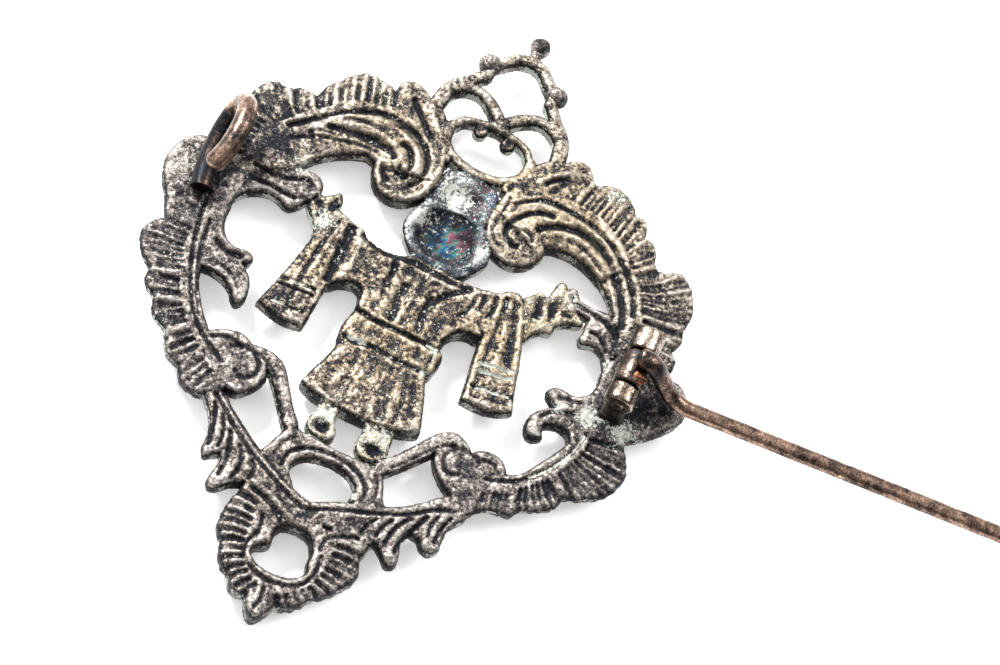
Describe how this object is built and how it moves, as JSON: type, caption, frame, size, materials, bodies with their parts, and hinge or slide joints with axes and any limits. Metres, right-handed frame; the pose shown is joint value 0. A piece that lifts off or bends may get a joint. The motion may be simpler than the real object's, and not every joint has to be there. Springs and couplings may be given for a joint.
{
  "type": "hat pin",
  "caption": "Openwork cast hat pin with shells, scrolls and a crown round a robed figure, and a hinged pin stem with a wire catch on the back.",
  "frame": {"origin": "on the brooch's long axis, at the figure's chest, on the back plane that lies against the hat", "axes": "+Z out of the back, +Y towards the crown, +X towards the hinge, along the open pin"},
  "size_m": [0.0859, 0.0599, 0.011],
  "materials": {
    "silver_bright": "rubbed oxidised silver with dark grooves",
    "silver_dark": "dark oxidised silver, worn on its high lines",
    "figure_metal": "mottled gold-brown and black oxidised silver",
    "head_metal": "dark tarnish with a faint rainbow bloom",
    "pale_residue": "metal under a cream polish residue",
    "hinge_metal": "dark brown oxidised brass",
    "wire_bronze": "polished bronze wire",
    "copper_solder": "bare copper-coloured solder"
  },
  "bodies": {
    "brooch": {"crown": "silver_bright", "crown_beads": "silver_dark", "upper_scroll_left": "silver_bright", "upper_scroll_right": "silver_bright", "side_scroll_left": "silver_dark", "side_scroll_right": "silver_dark", "side_shell_left": "silver_dark", "side_shell_right": "silver_dark", "hand_leaf_left": "silver_dark", "hand_leaf_right": "silver_dark", "claw_scroll_left": "silver_dark", "claw_scroll_right": "silver_dark", "foot_bracket_left": "silver_dark", "foot_bracket_right": "silver_dark", "pedestal": "silver_dark", "base_shell": "silver_dark", "robe": "figure_metal", "sleeve_left": "figure_metal", "sleeve_right": "figure_metal", "head_cup": "head_metal", "forearm_left": "pale_residue", "forearm_right": "pale_residue", "shoe_left": "pale_residue", "shoe_right": "pale_residue", "hinge_plate": "hinge_metal", "knuckle_upper": "hinge_metal", "knuckle_lower": "hinge_metal", "hinge_rivet": "hinge_metal", "catch_hook": "wire_bronze"},
    "pin": {"pin_knuckle": "hinge_metal", "pin_stem": "wire_bronze", "pin_solder": "copper_solder"}
  },
  "joints": [
    {"name": "pin_swing", "type": "hinge", "parent": "brooch", "child": "pin", "pos_m": [0.0191, 0.0015, 0.0033], "axis": [0, -1, 0], "range_deg": [0, 169]}
  ]
}
